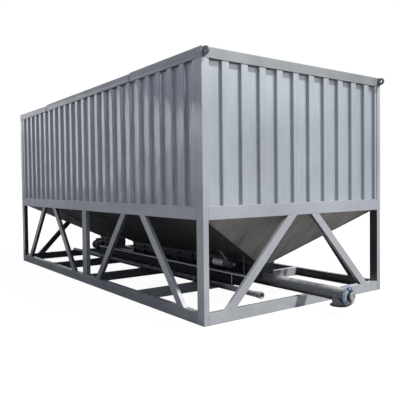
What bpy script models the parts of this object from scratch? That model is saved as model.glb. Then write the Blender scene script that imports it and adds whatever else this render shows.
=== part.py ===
"""Horizontal cement silo: a corrugated steel box on a braced channel frame.

Two plate hoppers hang under the box and feed one screw conveyor, whose outlet spout
stands out past the right end. Units are metres, +Z is up. The origin lies on the
ground under the middle of the frame. +X is the outlet end and -Y is the front.
"""

import math

import bmesh
import bpy
from mathutils import Vector

# Overall frame
LENGTH = 6.42
WIDTH = 3.18
FRAME_TOP = 3.045
ROOF_THICKNESS = 0.005
GAP = 0.0003
HALF_LENGTH = LENGTH / 2
HALF_WIDTH = WIDTH / 2

# Rolled sections
STEEL = 0.008
RAIL_DEPTH = 0.075
BOTTOM_RAIL_HEIGHT = 0.135
MIDDLE_RAIL_BOTTOM = 1.162
MIDDLE_RAIL_TOP = 1.316
TOP_RAIL_BOTTOM = 2.926
CORNER_POST_LENGTH = 0.126
CORNER_POST_WIDTH = 0.074
MIDDLE_POST_LENGTH = 0.160
MIDDLE_POST_DEPTH = 0.063
BRACE_WIDTH = 0.105
BRACE_DEPTH = 0.050
BRACE_STEEL = 0.006
CROSS_BEAM_DEPTH = 0.060

# Brace places, measured from the middle of the bay that each pair stands in
LONG_BAY_MIDDLE = LENGTH / 4
LONG_BRACE_FOOT = 1.140
LONG_BRACE_HEAD = 0.262
END_BRACE_FOOT = 1.210
END_BRACE_HEAD = 0.206

# Corrugated wall sheets
SHEET = 0.004
RIB_SETBACK = 0.006
RIB_DEPTH = 0.038
RIB_SLOPE = 0.012
RIB_FACE_SHARE = 0.37
LONG_WALL_RIBS = 23
LONG_WALL_PITCH = 0.2566
END_WALL_RIBS = 10
END_WALL_PITCH = 0.2788

# Hoppers, with the split at the quarter point of the frame
HOPPER_STEEL = 0.006
HOPPER_SPLIT = -LENGTH / 4
HOPPER_RIM_TOP = MIDDLE_RAIL_BOTTOM + STEEL
OUTLET_HEIGHT = 0.480
OUTLET_BOTTOM = 0.460
OUTLET_HALF_WIDTH = 0.155
LARGE_OUTLET = (-1.05, 2.50)
SMALL_OUTLET = (-2.50, -1.92)

# Screw conveyor
CONVEYOR_HEIGHT = 0.238
TUBE_RADIUS = 0.084
TUBE_START = -2.60
TUBE_END = 3.882
TUBE_SIDES = 32
END_FLANGE_RADIUS = 0.116
END_FLANGE_THICKNESS = 0.022
HUB_RADIUS = 0.052
HUB_LENGTH = 0.045
SPOUT_X = 3.753
SPOUT_RADIUS = 0.0865
SPOUT_BORE = 0.0805
SPOUT_BOTTOM = 0.105
SPOUT_FLANGE_RADIUS = 0.110
SPOUT_FLANGE_THICKNESS = 0.010
GEARBOX_LENGTH = 0.180
GEARBOX_SIZE = 0.230
MOTOR_LENGTH = 0.310
MOTOR_RADIUS = 0.095

# Feed boxes between the hopper outlets and the conveyor
FEED_HALF_WIDTH = 0.130
FEED_TOP_HALF_WIDTH = 0.162
FEED_TOP_THICKNESS = 0.012
FEED_FLANGE_HALF_WIDTH = 0.155
FEED_FLANGE_BOTTOM = 0.370
FEED_FLANGE_TOP = 0.385
FEED_NECK_HALF_WIDTH = 0.100
FEED_NECK_BOTTOM = 0.255

# Valve actuator on the front of the large feed box
ACTUATOR_START = 1.70
ACTUATOR_END = 2.17
ACTUATOR_RADIUS = 0.050
ACTUATOR_Y = -0.285
ACTUATOR_Z = 0.425
BRACKET_START = 1.96
BRACKET_END = 2.10
BRACKET_HEIGHT = 0.055

# Bearer beams that lie on the cross beams beside the conveyor
BEARER_START = -1.90
BEARER_COPE = 2.30
FRONT_BEARER_END = 2.62
BACK_BEARER_END = 1.635
BEARER_HEIGHT = 0.210
BEARER_COPE_HEIGHT = 0.055
BEARER_DEPTH = 0.075
BEARER_FACE = 0.450

# Filling pipe that lies on the cross beams
PIPE_RADIUS = 0.038
PIPE_BORE = 0.032
PIPE_Y = -0.560
PIPE_START = -2.95
PIPE_END = 3.018
PIPE_SIDES = 20

# Lifting lugs on the ends of the corner posts
LUG_THICKNESS = 0.020
LUG_INSET = 0.025
LUG_REACH = 0.045
LUG_RADIUS = 0.045
LUG_TOP = 3.040
LUG_EYE_RADIUS = 0.018
LUG_HEIGHT = 0.110
LUG_ARC_STEPS = 8

# Colours as linear red, green, blue, with roughness and metallic value
FRAME_PAINT = ((0.330, 0.350, 0.385), 0.38, 0.10)
WALL_PAINT = ((0.345, 0.365, 0.400), 0.32, 0.10)
HOPPER_PLATE = ((0.170, 0.165, 0.155), 0.50, 0.35)
DARK_STEEL = ((0.095, 0.100, 0.110), 0.55, 0.40)
TUBE_PAINT = ((0.300, 0.320, 0.350), 0.35, 0.20)
FLANGE_BLUE = ((0.090, 0.200, 0.370), 0.45, 0.10)
PIPE_STEEL = ((0.260, 0.265, 0.275), 0.40, 0.60)

silo_collection = bpy.data.collections.new("horizontal_cement_silo")
cutter_collection = bpy.data.collections.new("cutters")


def clear_scene():
    """Removes what the start file holds and links the two collections."""
    for item in list(bpy.data.objects):
        bpy.data.objects.remove(item, do_unlink=True)
    bpy.context.scene.collection.children.link(silo_collection)
    bpy.context.scene.collection.children.link(cutter_collection)


def make_material(name, finish):
    """Makes a painted or bare steel material."""
    colour, roughness, metallic = finish
    material = bpy.data.materials.new(name)
    material.use_nodes = True
    shader = material.node_tree.nodes["Principled BSDF"]
    shader.inputs["Base Color"].default_value = (*colour, 1.0)
    shader.inputs["Roughness"].default_value = roughness
    shader.inputs["Metallic"].default_value = metallic
    return material


def add_part(name, shape, finish, round_piece=False):
    """Adds one sub-part, with a material of its own, to the silo's collection."""
    part = bpy.data.objects.new(name, shape)
    silo_collection.objects.link(part)
    part.data.materials.append(make_material(name + "_finish", finish))
    if round_piece:
        shape.shade_smooth()
        shape.set_sharp_from_angle(angle=math.radians(35))
    return part


def mesh_from(name, work):
    """Closes a bmesh into a named mesh with its faces turned outwards."""
    bmesh.ops.recalc_face_normals(work, faces=work.faces)
    mesh = bpy.data.meshes.new(name)
    work.to_mesh(mesh)
    work.free()
    return mesh


def extruded_outline(name, points, travel):
    """Makes a prism from a flat outline that travels along one vector."""
    work = bmesh.new()
    face = work.faces.new([work.verts.new(point) for point in points])
    grown = bmesh.ops.extrude_face_region(work, geom=[face], use_keep_orig=True)
    moved = [item for item in grown["geom"] if isinstance(item, bmesh.types.BMVert)]
    bmesh.ops.translate(work, verts=moved, vec=travel)
    return mesh_from(name, work)


def box_mesh(name, low, high):
    """Makes a box between two corners."""
    low, high = Vector(low), Vector(high)
    work = bmesh.new()
    bmesh.ops.create_cube(work, size=1.0)
    bmesh.ops.scale(work, verts=work.verts, vec=high - low)
    bmesh.ops.translate(work, verts=work.verts, vec=(low + high) / 2)
    return mesh_from(name, work)


def cylinder_mesh(name, radius, start, end, sides):
    """Makes a round bar between two points on a line along one axis."""
    start, end = Vector(start), Vector(end)
    work = bmesh.new()
    bmesh.ops.create_cone(
        work, cap_ends=True, segments=sides, radius1=radius, radius2=radius, depth=(end - start).length
    )
    turn = Vector((0, 0, 1)).rotation_difference(end - start)
    bmesh.ops.rotate(work, verts=work.verts, matrix=turn.to_matrix())
    bmesh.ops.translate(work, verts=work.verts, vec=(start + end) / 2)
    return mesh_from(name, work)


def add_channel(name, corner, across, inward, travel, steel, finish=FRAME_PAINT):
    """Adds a rolled channel. across is its web, inward its flanges, travel its length."""
    corner, across, inward = Vector(corner), Vector(across), Vector(inward)
    width, depth = across.length, inward.length
    across.normalize()
    inward.normalize()
    section = (
        (0, 0), (width, 0), (width, depth), (width - steel, depth),
        (width - steel, steel), (steel, steel), (steel, depth), (0, depth),
    )
    points = [corner + across * u + inward * v for u, v in section]
    return add_part(name, extruded_outline(name, points, travel), finish)


def add_cutter(name, mesh):
    """Keeps a cutting shape out of the finished object."""
    cutter = bpy.data.objects.new(name, mesh)
    cutter_collection.objects.link(cutter)
    cutter.hide_render = True
    cutter.display_type = "WIRE"
    return cutter


def apply_boolean(part, other, operation):
    """Joins or cuts a part with another shape."""
    boolean = part.modifiers.new(operation.lower(), "BOOLEAN")
    boolean.operation = operation
    boolean.solver = "EXACT"
    boolean.object = other


def mitre_ends(rail, corner, inward, travel):
    """Slants both ends of a rail by 45 degrees, so that its inner edge is the shorter one."""
    corner, inward, travel = Vector(corner), Vector(inward), Vector(travel)
    for vertex in rail.data.vertices:
        offset = vertex.co - corner
        depth = offset.dot(inward.normalized())
        near_start = offset.dot(travel.normalized()) < travel.length / 2
        vertex.co += travel.normalized() * (depth if near_start else -depth)


def add_posts():
    """Four box posts at the corners and one channel post in the middle of each long side."""
    for side, y_sign in (("front", -1), ("back", 1)):
        for end, x_sign in (("left", -1), ("right", 1)):
            outer = (x_sign * HALF_LENGTH, y_sign * HALF_WIDTH)
            inner = (outer[0] - x_sign * CORNER_POST_LENGTH, outer[1] - y_sign * CORNER_POST_WIDTH)
            low = (min(outer[0], inner[0]), min(outer[1], inner[1]), 0)
            high = (max(outer[0], inner[0]), max(outer[1], inner[1]), TOP_RAIL_BOTTOM - GAP)
            name = f"corner_post_{side}_{end}"
            add_part(name, box_mesh(name, low, high), FRAME_PAINT)
        add_channel(
            f"middle_post_{side}",
            (-MIDDLE_POST_LENGTH / 2, y_sign * HALF_WIDTH, BOTTOM_RAIL_HEIGHT + GAP),
            (MIDDLE_POST_LENGTH, 0, 0),
            (0, -y_sign * MIDDLE_POST_DEPTH, 0),
            (0, 0, MIDDLE_RAIL_BOTTOM - BOTTOM_RAIL_HEIGHT - 2 * GAP),
            STEEL,
        )


def add_rails():
    """Three rings of channel rails, webs outwards.

    The bottom and middle rails stand between the corner posts. The top rails lie on
    the posts, and their ends are mitred.
    """
    between_x = HALF_LENGTH - CORNER_POST_LENGTH - GAP
    between_y = HALF_WIDTH - CORNER_POST_WIDTH - GAP
    levels = (
        ("bottom", 0.0, BOTTOM_RAIL_HEIGHT, between_x, between_y),
        ("middle", MIDDLE_RAIL_BOTTOM, MIDDLE_RAIL_TOP, between_x, between_y),
        ("top", TOP_RAIL_BOTTOM, FRAME_TOP, HALF_LENGTH - GAP, HALF_WIDTH - GAP),
    )
    for level, low, high, reach_x, reach_y in levels:
        sides = (
            ("front", (-reach_x, -HALF_WIDTH, low), (0, RAIL_DEPTH, 0), (2 * reach_x, 0, 0)),
            ("back", (-reach_x, HALF_WIDTH, low), (0, -RAIL_DEPTH, 0), (2 * reach_x, 0, 0)),
            ("left", (-HALF_LENGTH, -reach_y, low), (RAIL_DEPTH, 0, 0), (0, 2 * reach_y, 0)),
            ("right", (HALF_LENGTH, -reach_y, low), (-RAIL_DEPTH, 0, 0), (0, 2 * reach_y, 0)),
        )
        for side, corner, inward, travel in sides:
            rail = add_channel(f"{level}_rail_{side}", corner, (0, 0, high - low), inward, travel, STEEL)
            if level == "top":
                mitre_ends(rail, corner, inward, travel)


def add_braces():
    """Slanting channel braces under the middle rails, in pairs that lean together."""
    low = BOTTOM_RAIL_HEIGHT + GAP
    rise = MIDDLE_RAIL_BOTTOM - GAP - low
    for side, y_sign in (("front", -1), ("back", 1)):
        feet = []
        for bay in (-LONG_BAY_MIDDLE, LONG_BAY_MIDDLE):
            for lean in (-1, 1):
                feet.append((bay + lean * LONG_BRACE_FOOT, bay + lean * LONG_BRACE_HEAD))
        for number, (foot, head) in enumerate(feet, 1):
            level_width = BRACE_WIDTH * math.hypot(rise, head - foot) / rise
            add_channel(
                f"brace_{side}_{number}", (foot - level_width / 2, y_sign * HALF_WIDTH, low),
                (level_width, 0, 0), (0, -y_sign * BRACE_DEPTH, 0), (head - foot, 0, rise), BRACE_STEEL,
            )
    for end, x_sign in (("left", -1), ("right", 1)):
        for number, lean in enumerate((-1, 1), 1):
            foot, head = lean * END_BRACE_FOOT, lean * END_BRACE_HEAD
            level_width = BRACE_WIDTH * math.hypot(rise, head - foot) / rise
            add_channel(
                f"brace_{end}_{number}", (x_sign * HALF_LENGTH, foot - level_width / 2, low),
                (0, level_width, 0), (-x_sign * BRACE_DEPTH, 0, 0), (0, head - foot, rise), BRACE_STEEL,
            )


def add_cross_beams():
    """Three channel beams across the base, from long rail to long rail."""
    reach = HALF_WIDTH - RAIL_DEPTH - GAP
    for number, x in enumerate((-LENGTH / 4, 0, LENGTH / 4), 1):
        add_channel(
            f"cross_beam_{number}", (x + CROSS_BEAM_DEPTH / 2, -reach, 0), (0, 0, BOTTOM_RAIL_HEIGHT),
            (-CROSS_BEAM_DEPTH, 0, 0), (0, 2 * reach, 0), STEEL,
        )


def rib_line(span, ribs, pitch):
    """Plan points of a corrugated sheet: distance along it and depth behind its front."""
    face = pitch * RIB_FACE_SHARE
    first = (span - (ribs - 1) * pitch - face) / 2
    faces = [(0.0, first + face - pitch)]
    for rib in range(ribs):
        faces.append((first + rib * pitch, first + rib * pitch + face))
    faces.append((first + ribs * pitch, span))
    points = []
    for start, end in faces:
        if start > 0:
            points.append((start - RIB_SLOPE, RIB_DEPTH))
        points.append((start, 0.0))
        points.append((end, 0.0))
        if end < span:
            points.append((end + RIB_SLOPE, RIB_DEPTH))
    return points


def add_wall(name, start, along, inward, span, ribs, pitch):
    """Adds one corrugated wall: an open folded surface that Solidify thickens inwards."""
    start, along, inward = Vector(start), Vector(along), Vector(inward)
    work = bmesh.new()
    line = [work.verts.new(start + along * u + inward * v) for u, v in rib_line(span, ribs, pitch)]
    edges = [work.edges.new(pair) for pair in zip(line, line[1:])]
    grown = bmesh.ops.extrude_edge_only(work, edges=edges)
    moved = [item for item in grown["geom"] if isinstance(item, bmesh.types.BMVert)]
    height = TOP_RAIL_BOTTOM - MIDDLE_RAIL_TOP - 2 * GAP
    bmesh.ops.translate(work, verts=moved, vec=(0, 0, height))
    bmesh.ops.recalc_face_normals(work, faces=work.faces)
    mesh = bpy.data.meshes.new(name)
    work.to_mesh(mesh)
    work.free()
    wall = add_part(name, mesh, WALL_PAINT)
    facing = sum((face.normal.dot(inward) for face in mesh.polygons), 0.0)
    solidify = wall.modifiers.new("sheet", "SOLIDIFY")
    solidify.thickness = SHEET
    solidify.offset = 1.0 if facing > 0 else -1.0
    solidify.use_even_offset = True


def add_walls():
    """The four corrugated walls between the middle and the top rails."""
    low = MIDDLE_RAIL_TOP + GAP
    reach_x = HALF_LENGTH - CORNER_POST_LENGTH - GAP
    reach_y = HALF_WIDTH - CORNER_POST_WIDTH - GAP
    for side, sign in (("front", -1), ("back", 1)):
        start = (-reach_x, sign * (HALF_WIDTH - RIB_SETBACK), low)
        add_wall(
            f"wall_{side}", start, (1, 0, 0), (0, -sign, 0), 2 * reach_x, LONG_WALL_RIBS, LONG_WALL_PITCH
        )
    for end, sign in (("left", -1), ("right", 1)):
        start = (sign * (HALF_LENGTH - RIB_SETBACK), -reach_y, low)
        add_wall(
            f"wall_{end}", start, (0, 1, 0), (-sign, 0, 0), 2 * reach_y, END_WALL_RIBS, END_WALL_PITCH
        )


def add_roof():
    """A flat roof plate that lies on the top rails and posts."""
    low = (-HALF_LENGTH + STEEL, -HALF_WIDTH + STEEL, FRAME_TOP + GAP)
    high = (HALF_LENGTH - STEEL, HALF_WIDTH - STEEL, FRAME_TOP + ROOF_THICKNESS)
    add_part("roof", box_mesh("roof", low, high), WALL_PAINT)


def hopper_shell(name, left, right, outlet):
    """Open surface of a hopper's outside: a rim, four slopes and a short outlet neck."""
    reach_y = HALF_WIDTH - RAIL_DEPTH - GAP
    rings = (
        (left, right, reach_y, HOPPER_RIM_TOP),
        (left, right, reach_y, MIDDLE_RAIL_BOTTOM),
        (outlet[0], outlet[1], OUTLET_HALF_WIDTH, OUTLET_HEIGHT),
        (outlet[0], outlet[1], OUTLET_HALF_WIDTH, OUTLET_BOTTOM),
    )
    work = bmesh.new()
    loops = []
    for x0, x1, y, z in rings:
        corners = ((x0, -y, z), (x1, -y, z), (x1, y, z), (x0, y, z))
        loops.append([work.verts.new(corner) for corner in corners])
    for upper, lower in zip(loops, loops[1:]):
        for k in range(4):
            following = (k + 1) % 4
            work.faces.new((lower[k], lower[following], upper[following], upper[k]))
    mesh = bpy.data.meshes.new(name)
    work.to_mesh(mesh)
    work.free()
    return mesh


def hopper_corner_line(x_outlet, x_rim, y_sign):
    """The plan line of a hopper's inner corner, run on past the rim and in past the neck."""
    outlet = Vector((x_outlet, y_sign * OUTLET_HALF_WIDTH))
    rim = Vector((x_rim, y_sign * (HALF_WIDTH - RAIL_DEPTH)))
    x_sign = 1 if x_rim > x_outlet else -1
    inward = Vector((-x_sign, -y_sign)) * HOPPER_STEEL
    return outlet + inward - (rim - outlet) * 0.02, rim + inward + (rim - outlet) * 0.05


def add_hopper(name, left, right, outlet):
    """Adds a hopper as four plates that meet along its corner lines."""
    lines = {
        ("left", "front"): hopper_corner_line(outlet[0], left, -1),
        ("right", "front"): hopper_corner_line(outlet[1], right, -1),
        ("right", "back"): hopper_corner_line(outlet[1], right, 1),
        ("left", "back"): hopper_corner_line(outlet[0], left, 1),
    }
    plates = (
        ("front", ("left", "front"), ("right", "front"), Vector((GAP, 0))),
        ("right", ("right", "front"), ("right", "back"), Vector((0, GAP / 2))),
        ("back", ("right", "back"), ("left", "back"), Vector((-GAP, 0))),
        ("left", ("left", "back"), ("left", "front"), Vector((0, -GAP / 2))),
    )
    for side, first, second, inset in plates:
        inner_1, outer_1 = lines[first]
        inner_2, outer_2 = lines[second]
        plan = (inner_1 + inset, outer_1 + inset, outer_2 - inset, inner_2 - inset)
        points = [(point.x, point.y, 0.0) for point in plan]
        wedge_name = f"{name}_{side}_wedge"
        wedge = add_cutter(wedge_name, extruded_outline(wedge_name, points, (0, 0, MIDDLE_RAIL_TOP)))
        plate = add_part(f"{name}_{side}", hopper_shell(name, left, right, outlet), HOPPER_PLATE)
        solidify = plate.modifiers.new("plate", "SOLIDIFY")
        solidify.thickness = HOPPER_STEEL
        solidify.offset = -1.0
        solidify.use_even_offset = True
        apply_boolean(plate, wedge, "INTERSECT")


def add_hoppers():
    """The large hopper under three quarters of the box and the small one under the rest."""
    reach_x = HALF_LENGTH - RAIL_DEPTH - GAP
    add_hopper("hopper_large", HOPPER_SPLIT + GAP / 2, reach_x, LARGE_OUTLET)
    add_hopper("hopper_small", -reach_x, HOPPER_SPLIT - GAP / 2, SMALL_OUTLET)


def add_feed_boxes():
    """Flanged feed boxes that sit on the conveyor tube under each hopper outlet."""
    top = OUTLET_BOTTOM - GAP
    half = (
        (FEED_TOP_HALF_WIDTH, top),
        (FEED_TOP_HALF_WIDTH, top - FEED_TOP_THICKNESS),
        (FEED_HALF_WIDTH, top - FEED_TOP_THICKNESS),
        (FEED_HALF_WIDTH, FEED_FLANGE_TOP),
        (FEED_FLANGE_HALF_WIDTH, FEED_FLANGE_TOP),
        (FEED_FLANGE_HALF_WIDTH, FEED_FLANGE_BOTTOM),
        (FEED_NECK_HALF_WIDTH, FEED_FLANGE_BOTTOM),
        (FEED_NECK_HALF_WIDTH, FEED_NECK_BOTTOM),
    )
    outline = list(half) + [(-y, z) for y, z in reversed(half)]
    seat = add_cutter(
        "tube_seat",
        cylinder_mesh(
            "tube_seat", TUBE_RADIUS + GAP, (TUBE_START - 1, 0, CONVEYOR_HEIGHT),
            (TUBE_END + 1, 0, CONVEYOR_HEIGHT), TUBE_SIDES,
        ),
    )
    for name, outlet in (("feed_box_large", LARGE_OUTLET), ("feed_box_small", SMALL_OUTLET)):
        points = [(outlet[0], y, z) for y, z in outline]
        travel = (outlet[1] - outlet[0], 0, 0)
        feed_box = add_part(name, extruded_outline(name, points, travel), DARK_STEEL)
        apply_boolean(feed_box, seat, "DIFFERENCE")
    return seat


def turned_mesh(name, profile, base, axis, sides):
    """Turns a closed profile of (radius, height) points about an axis through base."""
    work = bmesh.new()
    loop = [work.verts.new((radius, 0, height)) for radius, height in profile]
    edges = [work.edges.new((loop[k], loop[(k + 1) % len(loop)])) for k in range(len(loop))]
    bmesh.ops.spin(
        work, geom=loop + edges, cent=(0, 0, 0), axis=(0, 0, 1), angle=math.tau,
        steps=sides, use_merge=True,
    )
    bmesh.ops.remove_doubles(work, verts=work.verts, dist=0.00005)
    turn = Vector((0, 0, 1)).rotation_difference(Vector(axis))
    bmesh.ops.rotate(work, verts=work.verts, matrix=turn.to_matrix())
    bmesh.ops.translate(work, verts=work.verts, vec=base)
    return mesh_from(name, work)


def add_conveyor(seat):
    """The conveyor tube with its end flange, outlet spout and geared motor."""
    tube = cylinder_mesh(
        "conveyor_tube", TUBE_RADIUS, (TUBE_START, 0, CONVEYOR_HEIGHT), (TUBE_END, 0, CONVEYOR_HEIGHT), TUBE_SIDES
    )
    add_part("conveyor_tube", tube, TUBE_PAINT, round_piece=True)

    flange_start = TUBE_END + GAP
    flange_end = flange_start + END_FLANGE_THICKNESS
    flange = add_part(
        "conveyor_end_flange",
        cylinder_mesh(
            "conveyor_end_flange", END_FLANGE_RADIUS, (flange_start, 0, CONVEYOR_HEIGHT),
            (flange_end, 0, CONVEYOR_HEIGHT), TUBE_SIDES,
        ),
        FLANGE_BLUE, round_piece=True,
    )
    hub = add_cutter(
        "flange_hub",
        cylinder_mesh(
            "flange_hub", HUB_RADIUS, (flange_start + END_FLANGE_THICKNESS / 2, 0, CONVEYOR_HEIGHT),
            (flange_end + HUB_LENGTH, 0, CONVEYOR_HEIGHT), TUBE_SIDES,
        ),
    )
    apply_boolean(flange, hub, "UNION")

    spout_height = CONVEYOR_HEIGHT - SPOUT_BOTTOM
    profile = (
        (SPOUT_BORE, 0), (SPOUT_FLANGE_RADIUS, 0), (SPOUT_FLANGE_RADIUS, SPOUT_FLANGE_THICKNESS),
        (SPOUT_RADIUS, SPOUT_FLANGE_THICKNESS), (SPOUT_RADIUS, spout_height), (SPOUT_BORE, spout_height),
    )
    spout_mesh = turned_mesh("outlet_spout", profile, (SPOUT_X, 0, SPOUT_BOTTOM), (0, 0, 1), TUBE_SIDES)
    spout = add_part("outlet_spout", spout_mesh, TUBE_PAINT, round_piece=True)
    apply_boolean(spout, seat, "DIFFERENCE")

    half = GEARBOX_SIZE / 2
    gearbox_right = TUBE_START - GAP
    gearbox_left = gearbox_right - GEARBOX_LENGTH
    gearbox = box_mesh(
        "conveyor_drive", (gearbox_left, -half, CONVEYOR_HEIGHT - half), (gearbox_right, half, CONVEYOR_HEIGHT + half)
    )
    drive = add_part("conveyor_drive", gearbox, DARK_STEEL, round_piece=True)
    motor = cylinder_mesh(
        "drive_motor", MOTOR_RADIUS, (gearbox_left - MOTOR_LENGTH, 0, CONVEYOR_HEIGHT),
        (gearbox_left + GEARBOX_LENGTH / 2, 0, CONVEYOR_HEIGHT), TUBE_SIDES,
    )
    apply_boolean(drive, add_cutter("drive_motor", motor), "UNION")


def add_actuator():
    """The cylinder that works the outlet valve, on a bracket on the large feed box."""
    actuator = add_part(
        "valve_actuator",
        cylinder_mesh(
            "valve_actuator", ACTUATOR_RADIUS, (ACTUATOR_START, ACTUATOR_Y, ACTUATOR_Z),
            (ACTUATOR_END, ACTUATOR_Y, ACTUATOR_Z), PIPE_SIDES,
        ),
        TUBE_PAINT, round_piece=True,
    )
    bracket_top = OUTLET_BOTTOM - FEED_TOP_THICKNESS - 2 * GAP
    bracket = add_cutter(
        "actuator_bracket",
        box_mesh(
            "actuator_bracket", (BRACKET_START, ACTUATOR_Y, bracket_top - BRACKET_HEIGHT),
            (BRACKET_END, -FEED_HALF_WIDTH - GAP, bracket_top),
        ),
    )
    apply_boolean(actuator, bracket, "UNION")


def add_bearers():
    """Two channel beams beside the conveyor. The long front one is coped at the bottom of its outlet end."""
    low = BOTTOM_RAIL_HEIGHT + GAP
    bearers = {}
    for side, sign, end in (("front", -1, FRONT_BEARER_END), ("back", 1, BACK_BEARER_END)):
        bearers[side] = add_channel(
            f"bearer_{side}", (BEARER_START, sign * BEARER_FACE, low), (0, 0, BEARER_HEIGHT),
            (0, -sign * BEARER_DEPTH, 0), (end - BEARER_START, 0, 0), STEEL, DARK_STEEL,
        )
    cope = add_cutter(
        "bearer_cope",
        box_mesh(
            "bearer_cope", (BEARER_COPE, -WIDTH, low - BEARER_HEIGHT),
            (FRONT_BEARER_END + BEARER_HEIGHT, 0, low + BEARER_COPE_HEIGHT),
        ),
    )
    apply_boolean(bearers["front"], cope, "DIFFERENCE")


def add_filling_pipe():
    """The small pipe that lies along the front of the base, open at both ends."""
    profile = (
        (PIPE_BORE, 0), (PIPE_RADIUS, 0), (PIPE_RADIUS, PIPE_END - PIPE_START), (PIPE_BORE, PIPE_END - PIPE_START),
    )
    height = BOTTOM_RAIL_HEIGHT + GAP + PIPE_RADIUS
    mesh = turned_mesh("filling_pipe", profile, (PIPE_START, PIPE_Y, height), (1, 0, 0), PIPE_SIDES)
    add_part("filling_pipe", mesh, PIPE_STEEL, round_piece=True)


def lug_outline(x_sign):
    """Points of a lug plate, drawn from the post face outwards, with its top at zero."""
    points = [(0.0, 0.0)]
    for step in range(LUG_ARC_STEPS + 1):
        angle = math.radians(90 - 150 * step / LUG_ARC_STEPS)
        points.append((LUG_REACH + LUG_RADIUS * math.cos(angle), -LUG_RADIUS + LUG_RADIUS * math.sin(angle)))
    points.append((0.0, -LUG_HEIGHT))
    return [(x_sign * x, z) for x, z in points]


def add_lugs():
    """Lifting lug plates with a round eye, on the end faces of the corner posts."""
    for side, y_sign in (("front", -1), ("back", 1)):
        for end, x_sign in (("left", -1), ("right", 1)):
            name = f"lifting_lug_{side}_{end}"
            centre_y = y_sign * (HALF_WIDTH - LUG_INSET - LUG_THICKNESS / 2)
            base = Vector((x_sign * (HALF_LENGTH + GAP), centre_y - LUG_THICKNESS / 2, LUG_TOP))
            points = [base + Vector((x, 0, z)) for x, z in lug_outline(x_sign)]
            lug = add_part(name, extruded_outline(name, points, (0, LUG_THICKNESS, 0)), FRAME_PAINT)
            eye_x = base.x + x_sign * LUG_REACH
            eye_z = LUG_TOP - LUG_RADIUS
            eye = add_cutter(
                name + "_eye",
                cylinder_mesh(
                    name + "_eye", LUG_EYE_RADIUS, (eye_x, centre_y - LUG_THICKNESS, eye_z),
                    (eye_x, centre_y + LUG_THICKNESS, eye_z), PIPE_SIDES,
                ),
            )
            apply_boolean(lug, eye, "DIFFERENCE")


def build_silo():
    """Builds the whole silo."""
    clear_scene()
    add_posts()
    add_rails()
    add_braces()
    add_cross_beams()
    add_walls()
    add_roof()
    add_hoppers()
    seat = add_feed_boxes()
    add_conveyor(seat)
    add_actuator()
    add_bearers()
    add_filling_pipe()
    add_lugs()


build_silo()
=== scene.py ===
"""Dresses the horizontal cement silo: paint, welds, fasteners, floor, light and camera."""

import math

import bmesh
import bpy
from mathutils import Matrix, Vector, noise


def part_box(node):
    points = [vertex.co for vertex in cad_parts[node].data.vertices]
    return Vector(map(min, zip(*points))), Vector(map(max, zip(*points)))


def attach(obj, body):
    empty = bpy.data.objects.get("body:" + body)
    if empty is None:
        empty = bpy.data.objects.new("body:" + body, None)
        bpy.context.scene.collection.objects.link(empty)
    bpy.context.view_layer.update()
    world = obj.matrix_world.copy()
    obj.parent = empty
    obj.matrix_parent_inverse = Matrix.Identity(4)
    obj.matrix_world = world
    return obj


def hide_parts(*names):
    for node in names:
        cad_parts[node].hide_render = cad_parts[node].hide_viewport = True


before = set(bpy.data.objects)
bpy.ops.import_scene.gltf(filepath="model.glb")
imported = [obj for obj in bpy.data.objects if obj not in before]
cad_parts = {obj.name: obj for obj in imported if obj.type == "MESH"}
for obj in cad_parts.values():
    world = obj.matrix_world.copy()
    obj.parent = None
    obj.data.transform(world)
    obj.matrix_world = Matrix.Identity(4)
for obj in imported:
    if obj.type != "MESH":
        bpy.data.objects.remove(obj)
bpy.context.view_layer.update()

# Frame, in metres. The origin is on the ground under the middle, +X is the outlet end
HALF_LENGTH = 3.21
HALF_WIDTH = 1.59
BOTTOM_RAIL_TOP = 0.135
MIDDLE_RAIL_BOTTOM = 1.162
MIDDLE_RAIL_TOP = 1.316
TOP_RAIL_BOTTOM = 2.926
FRAME_TOP = 3.045
RAIL_DEPTH = 0.075
STEEL = 0.008
POST_LENGTH = 0.126
POST_WIDTH = 0.074
LUG_EYE_X = 3.2553
LUG_EYE_HEIGHT = 2.995
BEAM_PLACES = (-1.605, 0.0, 1.605)

# Corrugated sheets
SHEET = 0.004
RIB_DEPTH = 0.038
RIB_SLOPE = 0.012
RIB_FACE_SHARE = 0.37
# Ribs, their pitch, and how far they lie from it: places along the wall, and the shift at each
LONG_SHEET = (23, 0.2566, ((0.0, 0.03), (1.7, 0.022), (4.2, -0.028), (6.2, -0.018)))
END_SHEET = (10, 0.2788, ((0.0, 0.002), (2.75, 0.029), (3.0, -0.004)))
FOLD_RADIUS = 0.011
FOLD_STEPS = 3
SHEET_ROWS = 16
SHEET_WAVE = 0.0018

# Splices in the long top rails: place, gap, and how far the farther length hangs lower at its end
SPLICES = ((-1.646, 0.04, 0.02), (1.578, 0.022, 0.012))
SPLICE_LIFT = 0.005

# Conveyor
TUBE_HEIGHT = 0.238
TUBE_RADIUS = 0.084
TUBE_START = -2.6
TUBE_END = 3.882
SPOUT_X = 3.753
SPOUT_RADIUS = 0.0865
SPOUT_BORE = 0.0805
SPOUT_BOTTOM = 0.105
LARGE_OUTLET = (-1.05, 2.5)
SMALL_OUTLET = (-2.5, -1.92)
OUTLET_BOTTOM = 0.46

# Hoppers: their necks, and the place where the two of them meet
NECK_HALF_WIDTH = 0.155
NECK_HEIGHT = 0.48
HOPPERS_MEET = -1.605

# Valve actuator: both of its ends and its axis
ACTUATOR_START = 1.7
ACTUATOR_END = 2.17
ACTUATOR_Y = -0.285
ACTUATOR_HEIGHT = 0.425

# Filling pipe, on the cross beams
PIPE_START = -2.95
PIPE_END = 3.018
PIPE_Y = -0.56
PIPE_RADIUS = 0.038
PIPE_BORE = 0.032

# A hairline between neighbouring pieces, so that no two faces lie in one plane
HAIRLINE = 0.0003

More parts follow.
